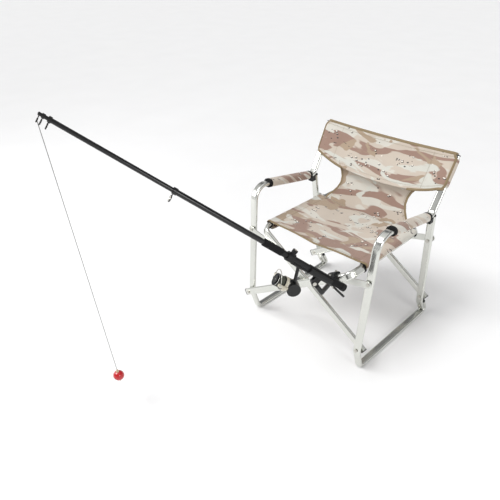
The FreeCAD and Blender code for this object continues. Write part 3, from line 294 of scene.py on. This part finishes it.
looks = {
    tube_metal: ["left_arm_tube", "right_arm_tube", "left_rear_leg", "right_rear_leg", "cross_tube_a",
                 "cross_tube_b"],
    bar_metal: ["left_stays", "right_stays"],
    steel: ["left_fasteners", "right_fasteners", "centre_pivots", "clamp_screws", "tilt_bolt", "knob_screw",
            "spool_shaft", "bail"],
    brass: ["drive_gear"],
    spool_metal: ["spool"],
    ring_metal: ["guide_one_liner", "guide_two_liner"],
    black_plastic: ["left_end_caps", "right_end_caps", "cross_a_trim", "cross_b_trim", "clamp_jaw_front",
                    "clamp_jaw_rear", "cradle", "seat_hood", "reel_seat", "hood_knob"],
    black_metal: ["holder_arm", "clamp_lever", "guide_one_frame", "guide_two_frame", "guide_three_frame",
                  "guide_tip_frame", "crank"],
    black_rubber: ["butt_cap", "crank_knob"],
    foam: ["left_pad_rings", "right_pad_rings", "rear_grip", "fore_grip"],
    blank: ["section_one", "section_two", "section_three", "section_four"],
    reel_black: ["reel_housing", "drag_knob"],
    reel_gold: ["reel_side_cover"],
    reel_cream: ["rotor"],
    braid: ["line"],
    wound: ["wound_line"],
    float_red: ["float_ball"],
    float_tan: ["float_fittings"],
    camo: ["seat_fabric", "back_fabric", "lumbar_panel"],
    camo_pad: ["left_arm_pad", "right_arm_pad"],
}
for mat, names in looks.items():
    for name in names:
        mesh = nodes[name].data
        mesh.materials.clear()
        mesh.materials.append(mat)


# ---------------------------------------------------------------- mesh helpers
def piece(name, verts, faces, mat, smooth=True):
    """New mesh object in the row frame."""
    mesh = bpy.data.meshes.new(name)
    mesh.from_pydata([tuple(v) for v in verts], [], faces)
    mesh.materials.append(mat)
    for poly in mesh.polygons:
        poly.use_smooth = smooth
    obj = bpy.data.objects.new(name, mesh)
    bpy.context.collection.objects.link(obj)
    bm = bmesh.new()
    bm.from_mesh(mesh)
    bmesh.ops.recalc_face_normals(bm, faces=bm.faces)
    bm.to_mesh(mesh)
    bm.free()
    return obj


def lattice(name, rows, mat, closed=False):
    """Quad sheet through rows of points."""
    verts = [p for r in rows for p in r]
    n = len(rows[0])
    faces = []
    for i in range(len(rows) - 1):
        for j in range(n if closed else n - 1):
            k = (j + 1) % n
            faces.append((i * n + j, i * n + k, (i + 1) * n + k, (i + 1) * n + j))
    return piece(name, verts, faces, mat)


def harden(obj, thickness=0.0, levels=0):
    """Applies thickness and subdivision to the mesh."""
    if levels:
        mod = obj.modifiers.new("sub", "SUBSURF")
        mod.levels = levels
        mod.render_levels = levels
    if thickness:
        mod = obj.modifiers.new("thick", "SOLIDIFY")
        mod.thickness = thickness
        mod.offset = 0.0
    depsgraph = bpy.context.evaluated_depsgraph_get()
    mesh = bpy.data.meshes.new_from_object(obj.evaluated_get(depsgraph))
    obj.modifiers.clear()
    obj.data = mesh
    for poly in obj.data.polygons:
        poly.use_smooth = True
    return obj


def strip(name, path, normals, width, thick, mat):
    """Flat tape with rounded edges, laid along a path and facing its normals."""
    rows = []
    for i, p in enumerate(path):
        along = (path[min(i + 1, len(path) - 1)] - path[max(i - 1, 0)]).normalized()
        n = normals[i].normalized()
        across = along.cross(n).normalized()
        ring = []
        for k in range(10):
            a = 2 * math.pi * k / 10
            ring.append(p + across * math.cos(a) * width / 2 + n * math.sin(a) * thick / 2)
        rows.append(ring)
    return lattice(name, rows, mat, True)


def stitches(name, path, normals, mat, pitch=0.0045, radius=0.0005):
    """Row of short threads standing on a cloth."""
    sides = 5
    verts = []
    faces = []
    carried = 0.0
    for a, b, n in zip(path, path[1:], normals):
        run = (b - a).length
        along = (b - a).normalized()
        side = along.cross(n).normalized()
        at = carried
        while at + pitch * 0.65 < run:
            base = len(verts)
            for t, lift in ((0.0, 0.0), (0.3, 1.0), (0.65, 0.0)):
                p = a + along * (at + pitch * t) + n * radius * 1.6 * lift
                for k in range(sides):
                    turn = 2 * math.pi * k / sides
                    verts.append(p + side * math.cos(turn) * radius + n * math.sin(turn) * radius)
            for low in (base, base + sides):
                for k in range(sides):
                    m = (k + 1) % sides
                    faces.append((low + k, low + m, low + sides + m, low + sides + k))
            at += pitch
        carried = at - run
    return piece(name, verts, faces, mat)


def soft_ends(t, power=4):
    """1 in the middle of 0..1 and 0 at both ends."""
    return 1 - abs(2 * t - 1) ** power


# ---------------------------------------------------------------- seat
rise = math.atan2(171, 275)
rail_x = 220.0
rail_z = 281 + rail_x * math.tan(rise)
seat_front = -207.0
seat_rear = 111.0


def around_rail(angle, grow):
    """Point on a line that wraps the tilted oval seat rail; angle 0 is outward and 90 degrees is up."""
    long_way = Vector((math.sin(rise), 0, math.cos(rise)))
    d = Vector((math.cos(angle), 0, math.sin(angle)))
    side = RAIL_HALF if d.dot(long_way) > 0 else -RAIL_HALF
    shift = long_way * side * min(1, abs(d.dot(long_way)) * 1.6)
    return Vector((rail_x, 0, rail_z)) + shift + d * (RAIL_HALF + grow)


def seat_profile():
    """Half profile from the centre of the seat to the hem's inner edge."""
    top = around_rail(math.radians(84), HEM_GROW)
    points = []
    for k in range(15):
        f = k / 15
        drop = 13.5 * (1 - f ** 2.2)
        points.append(Vector((top.x * f, 0, top.z - drop)))
    for degrees in (84, 60, 36, 12, -10, -34, -60, -88, -118, -150):
        points.append(around_rail(math.radians(degrees), HEM_GROW))
    points[-1] = Vector((points[-1].x - 6, 0, points[-1].z + 2))
    return points


half_profile = seat_profile()
profile = [Vector((-p.x, p.y, p.z)) for p in half_profile[:0:-1]] + half_profile
rows = []
steps = 30
for i in range(steps + 1):
    t = i / steps
    y = seat_front + (seat_rear - seat_front) * t
    row = []
    for p in profile:
        inward = max(0.0, 1 - abs(p.x) / 205)
        bow = 5.0 * math.sin(math.pi * t) * inward
        ripple = 1.3 * math.sin(p.x / 31 + 2.2 * t) * soft_ends(t, 2) * min(1, inward * 3)
        curve_in = (1 - 2 * t) * 7.0 * math.sin(math.pi * min(1, inward))
        edge_lift = 2.2 * (abs(2 * t - 1) ** 6) * min(1, inward * 2)
        row.append(chair(p.x, y + curve_in * abs(2 * t - 1) ** 2, p.z - bow + 0.5 * ripple + edge_lift))
    rows.append(row)
seat = harden(lattice("seat_cloth", rows, camo), CLOTH, 1)
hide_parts("seat_fabric")
top_range = [j for j, p in enumerate(profile) if p.z > 415 or abs(p.x) < 200]
seat_parts = []
for label, row_index, out in (("front", 0, -1), ("rear", steps, 1)):
    line = [rows[row_index][j] + Vector((0, out * 0.0006, 0)) for j in top_range]
    if label == "front":
        seat_parts.append(strip("seat_tape_front", line, [UP] * len(line), 0.010, HEM_TAPE_THICK, khaki))
    inner = [rows[row_index - out * 1][j] + UP * LIFT for j in top_range[6:-6]]
    seat_parts.append(stitches(f"seat_stitch_{label}", inner, [UP] * (len(inner) - 1), thread))
for label, j in (("left", 4), ("right", len(profile) - 5)):
    line = [rows[i][j] for i in range(steps + 1)]
    outward = [Vector((math.copysign(0.95, rows[0][j].x), 0, -0.3))] * len(line)
    seat_parts.append(strip(f"seat_hem_tape_{label}", line, outward, 0.009, HEM_TAPE_THICK, khaki))
for label, sign in (("left", -1), ("right", 1)):
    j = len(half_profile) - 1 + sign * 13
    line = [rows[i][j] + UP * LIFT for i in range(2, steps - 1)]
    seat_parts.append(stitches(f"seat_seam_{label}", line, [UP] * (len(line) - 1), thread))

# ---------------------------------------------------------------- back panel and lumbar panel, one cut of cloth
post_low = Vector((0, 108.2, 509.8))
post_dir = Vector((0, 99.8, 189.2)).normalized()
face_out = Vector((0, -post_dir.z, post_dir.y))


def on_post(z):
    """Centre line of the backrest post at a height."""
    return post_low + post_dir * ((z - post_low.z) / post_dir.z)


back_top = 703.0
back_foot = 596.0
back_bow = 40.0
rows = []
levels = 22
wrap = [(-250, -9.6), (-272, -12.4), (-284, -10.5), (-292, -3.5), (-293, 4.5), (-286, 11.5), (-272, 13.0),
        (-258, 10.5), (-246, 3.0)]
for i in range(levels + 1):
    t = i / levels
    row = []
    narrow = 1 - 0.045 * max(0, t - 0.86) / 0.14 - 0.02 * max(0, 0.10 - t) / 0.10
    for x, off in reversed(wrap):
        row.append((x * narrow if i > levels - 4 or i < 3 else x, off))
    columns = 40
    for k in range(1, columns):
        f = 2 * k / columns - 1
        sag = 15.0 * (1 - abs(f) ** 2.1)
        sag *= 0.72 + 0.28 * math.sin(math.pi * t)
        row.append((f * 250, -9.6 + sag))
    for x, off in wrap:
        row.append((-x * narrow if i > levels - 4 or i < 3 else -x, off))
    line = []
    for x, off in row:
        wave = 0.9 * math.sin(x / 23 + 4 * t) * (1 - (abs(x) / 300) ** 2)
        share = min(1, abs(x) / 275)
        foot = back_foot - back_bow * (1 - share ** 2.6)
        top = back_top - 3.5 * (1 - share ** 2)
        p = on_post(foot + (top - foot) * t) - face_out * (off + wave)
        line.append(chair(x, p.y, p.z))
    rows.append(line)
back_cloth = harden(lattice("back_cloth", rows, camo), CLOTH, 1)
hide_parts("back_fabric")
back_parts = []
n_cols = len(rows[0])
edges = (
    ("top", levels, 1, range(2, n_cols - 2)),
    ("foot_left", 0, -1, range(2, 17)),
    ("foot_right", 0, -1, range(n_cols - 17, n_cols - 2)),
)
for label, i, lift, columns_used in edges:
    line = [rows[i][j] + Vector((0, 0, lift * 0.0004)) for j in columns_used]
    facing = [Vector((0, -0.88, 0.47))] * len(line)
    back_parts.append(strip(f"back_tape_{label}", line, facing, 0.010, TAPE_THICK, khaki))
    inner = [rows[i - lift * 2][j] + face_out * LIFT for j in columns_used[2:-2]]
    back_parts.append(stitches(f"back_stitch_{label}", inner, [face_out] * (len(inner) - 1), thread))
for label, j in (("left", 6), ("right", n_cols - 7)):
    line = [rows[i][j] for i in range(levels + 1)]
    outward = [face_out + Vector((math.copysign(0.9, rows[0][j].x), 0, 0))] * len(line)
    back_parts.append(strip(f"back_tape_{label}", line, outward, 0.009, TAPE_THICK, khaki))
foot_seam = [rows[2][j] + face_out * LIFT for j in range(14, n_cols - 14)]
back_parts.append(stitches("back_foot_seam", foot_seam, [face_out] * (len(foot_seam) - 1), thread))
for label, j in (("left", 12), ("right", n_cols - 13)):
    line = [rows[i][j] + face_out * LIFT for i in range(1, levels)]
    back_parts.append(stitches(f"back_seam_{label}", line, [face_out] * (len(line) - 1), thread))

# hourglass panel from the back panel's foot to the seat's rear edge
profile_half = [(0.0, 198), (0.08, 190), (0.18, 172), (0.30, 158), (0.42, 150), (0.54, 151), (0.66, 159),
                (0.78, 174), (0.88, 194), (0.96, 214), (1.0, 224)]


def half_width(t):
    """Half width of the hourglass at a share of its height."""
    for (t0, w0), (t1, w1) in zip(profile_half, profile_half[1:]):
        if t <= t1:
            f = (t - t0) / (t1 - t0)
            f = f * f * (3 - 2 * f) * 0.35 + f * 0.65
            return w0 + (w1 - w0) * f
    return profile_half[-1][1]


low = Vector((0, 108.0, 431.0))
high = on_post(back_foot + 5) + face_out * 4.0
rows_l = []
count = 26
cols = 36
for i in range(count + 1):
    t = i / count
    mid = low.lerp(high, t)
    belly = math.sin(math.pi * t) * 14.0
    row = []
    for k in range(cols + 1):
        f = 2 * k / cols - 1
        x = f * half_width(t)
        sag = 11.0 * (1 - abs(x / 250) ** 2.0) * t
        foot_sag = -12.5 * (1 - abs(x / 205) ** 2.2) * (1 - t) ** 2
        crease = 1.1 * math.sin(5.5 * f + 7 * t) * math.sin(math.pi * t)
        row.append(chair(x, mid.y + belly + sag + crease, mid.z + foot_sag))
    rows_l.append(row)
lumbar = harden(lattice("lumbar_cloth", rows_l, camo), CLOTH, 1)
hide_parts("lumbar_panel")
for label, j in (("left", 0), ("right", cols)):
    line = [rows_l[i][j] for i in range(count + 1)]
    facing = [Vector((0, -0.95, 0.2))] * len(line)
    back_parts.append(strip(f"lumbar_tape_{label}", line, facing, 0.010, TAPE_THICK, khaki))
    inset = 1 if j == 0 else cols - 1
    inner = [rows_l[i][inset] + Vector((0, -0.0015, 0)) for i in range(count + 1)]
    facing = [Vector((0, -1, 0))] * (len(inner) - 1)
    back_parts.append(stitches(f"lumbar_stitch_{label}", inner, facing, thread))

# ---------------------------------------------------------------- arm sleeves
arm_a = Vector((0, -231.6, 569.9))
arm_b = Vector((0, 108.2, 509.8))
arm_dir = (arm_b - arm_a).normalized()
arm_up = Vector((0, -arm_dir.z, arm_dir.y))
pads = {}
for label, sign in (("left", -1), ("right", 1)):
    rows = []
    length = 28
    for i in range(length + 1):
        t = i / length
        y = -154.0 + 230.0 * t
        at = arm_a + arm_dir * ((y - arm_a.y) / arm_dir.y)
        pinch = 1 - 0.05 * abs(2 * t - 1) ** 10
        ring = []
        for k in range(32):
            a = 2 * math.pi * k / 32
            wide = 18.6 * (1 + 0.012 * math.sin(9 * t + 3 * a))
            tall = 14.8 * (1 + 0.02 * math.sin(7 * t + 2 * a + sign))
            power = 0.82
            cx = math.copysign(abs(math.cos(a)) ** power, math.cos(a)) * wide * pinch
            cy = math.copysign(abs(math.sin(a)) ** power, math.sin(a)) * tall * pinch
            p = at + arm_up * cy
            ring.append(chair(sign * 275 + cx, p.y, p.z))
        rows.append(ring)
    pad = harden(lattice(f"{label}_arm_sleeve", rows, camo_pad, True), 0.0018, 1)
    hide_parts(f"{label}_arm_pad")
    seam = [rows[i][24] + Vector((0, 0, -0.001)) for i in range(length + 1)]
    line = strip(f"{label}_sleeve_seam", seam, [Vector((0, 0, -1))] * len(seam), 0.006, 0.0016, khaki)
    pads[label] = [pad, line]

# ---------------------------------------------------------------- reel rings
butt = Vector((232, -330, 402))
rod_dir = (Vector((-213, -949, 993)) - butt).normalized()
rod_up = (Vector((0, 0, 1)) - rod_dir * rod_dir.z).normalized()
rod_side = rod_dir.cross(rod_up)
reel_drop = 86.0


def reel_ring(name, station, radius, wire, mat, body):
    """Thin ring round the reel's axis at a station along the rod."""
    rows = []
    for i in range(65):
        a = 2 * math.pi * i / 64
        out = rod_up * math.cos(a) + rod_side * math.sin(a)
        centre = butt + rod_dir * station - rod_up * reel_drop + out * radius
        ring = []
        for k in range(8):
            b = 2 * math.pi * k / 8
            p = centre + out * wire * math.cos(b) + rod_dir * wire * math.sin(b)
            ring.append(chair(p.x, p.y, p.z))
        rows.append(ring)
    obj = lattice(name, rows, mat, True)
    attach(obj, body)
    return obj


reel_ring("spool_lip_ring", 219.2, 21.2, 0.8, ring_metal, "holder")
reel_ring("spool_skirt_ring", 190.5, 22.1, 0.6, ring_metal, "holder")
reel_ring("rotor_ring", 182.0, 24.1, 0.7, ring_metal, "rotor_body")
reel_ring("hood_ring", 179.0, 14.6, 0.6, ring_metal, "holder")

# ---------------------------------------------------------------- hanging line
line_low, line_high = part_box("line")
line_x = (line_low[0] + line_high[0]) / 2
line_y = (line_low[1] + line_high[1]) / 2
line_length = line_high[2] - line_low[2]
curve = bpy.data.curves.new("hanging_line", "CURVE")
curve.dimensions = "3D"
curve.bevel_depth = 0.0008
curve.bevel_resolution = 3
spline = curve.splines.new("NURBS")
spline.points.add(5)
for k, point in enumerate(spline.points):
    point.co = (line_x, line_y, line_high[2] - line_length * k / 5, 1)
spline.order_u = 3
spline.use_endpoint_u = True
curve.materials.append(braid)
hanging = bpy.data.objects.new("hanging_line", curve)
bpy.context.collection.objects.link(hanging)
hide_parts("line")

# ---------------------------------------------------------------- bodies
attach(hanging, "rod_four")
for obj in [seat] + seat_parts:
    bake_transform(obj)
for obj in [back_cloth, lumbar] + back_parts:
    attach(obj, "left_frame")
    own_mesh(obj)
for label in pads:
    for obj in pads[label]:
        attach(obj, f"{label}_frame")

# ---------------------------------------------------------------- floor and light
floor_mat, tree, shader = material("studio_floor")
grain = noise(tree, place(tree), 3, 2)
tree.links.new(mix(tree, grain, (0.86, 0.86, 0.86, 1), (0.90, 0.90, 0.90, 1)), shader.inputs["Base Color"])
shader.inputs["Roughness"].default_value = 0.9
reach = 60
corners = [(x * reach, y * reach, -0.0005) for x, y in ((-1, -1), (1, -1), (1, 1), (-1, 1))]
floor = piece("studio_floor", corners, [(0, 1, 2, 3)], floor_mat)


def area_light(name, at, target, size, power, colour=(1, 1, 1)):
    """Soft studio light aimed at a point."""
    light = bpy.data.lights.new(name, "AREA")
    light.size = size
    light.energy = power
    light.color = colour
    obj = bpy.data.objects.new(name, light)
    bpy.context.collection.objects.link(obj)
    obj.location = at
    obj.rotation_euler = (Vector(target) - Vector(at)).to_track_quat("-Z", "Y").to_euler()


sun = bpy.data.lights.new("key_sun", "SUN")
sun.energy = 1.75
sun.angle = math.radians(24)
sun_object = bpy.data.objects.new("key_sun", sun)
bpy.context.collection.objects.link(sun_object)
sun_object.rotation_euler = Vector((0.9, 1.5, -2.9)).to_track_quat("-Z", "Y").to_euler()
area_light("left_box", (-2.4, -1.6, 1.6), (0, 0.2, 0.4), 1.2, 26)
area_light("right_box", (2.6, -0.6, 1.5), (0, 0.3, 0.4), 0.9, 18)
world = bpy.data.worlds.new("studio_air")
world.use_nodes = True
air = world.node_tree
direction = air.nodes.new("ShaderNodeTexCoord").outputs["Generated"]
height = air.nodes.new("ShaderNodeSeparateXYZ")
air.links.new(direction, height.inputs[0])
pale = (0.84, 0.84, 0.85, 1)
band = mix(air, ramp(air, height.outputs[2], 0.42, 0.54), pale, (0.10, 0.10, 0.11, 1))
sky = mix(air, ramp(air, height.outputs[2], 0.64, 0.82), band, (1, 1, 1, 1))
air.links.new(sky, air.nodes["Background"].inputs[0])
air.nodes["Background"].inputs[1].default_value = 0.78
bpy.context.scene.world = world
bpy.context.scene.view_settings.view_transform = "Standard"
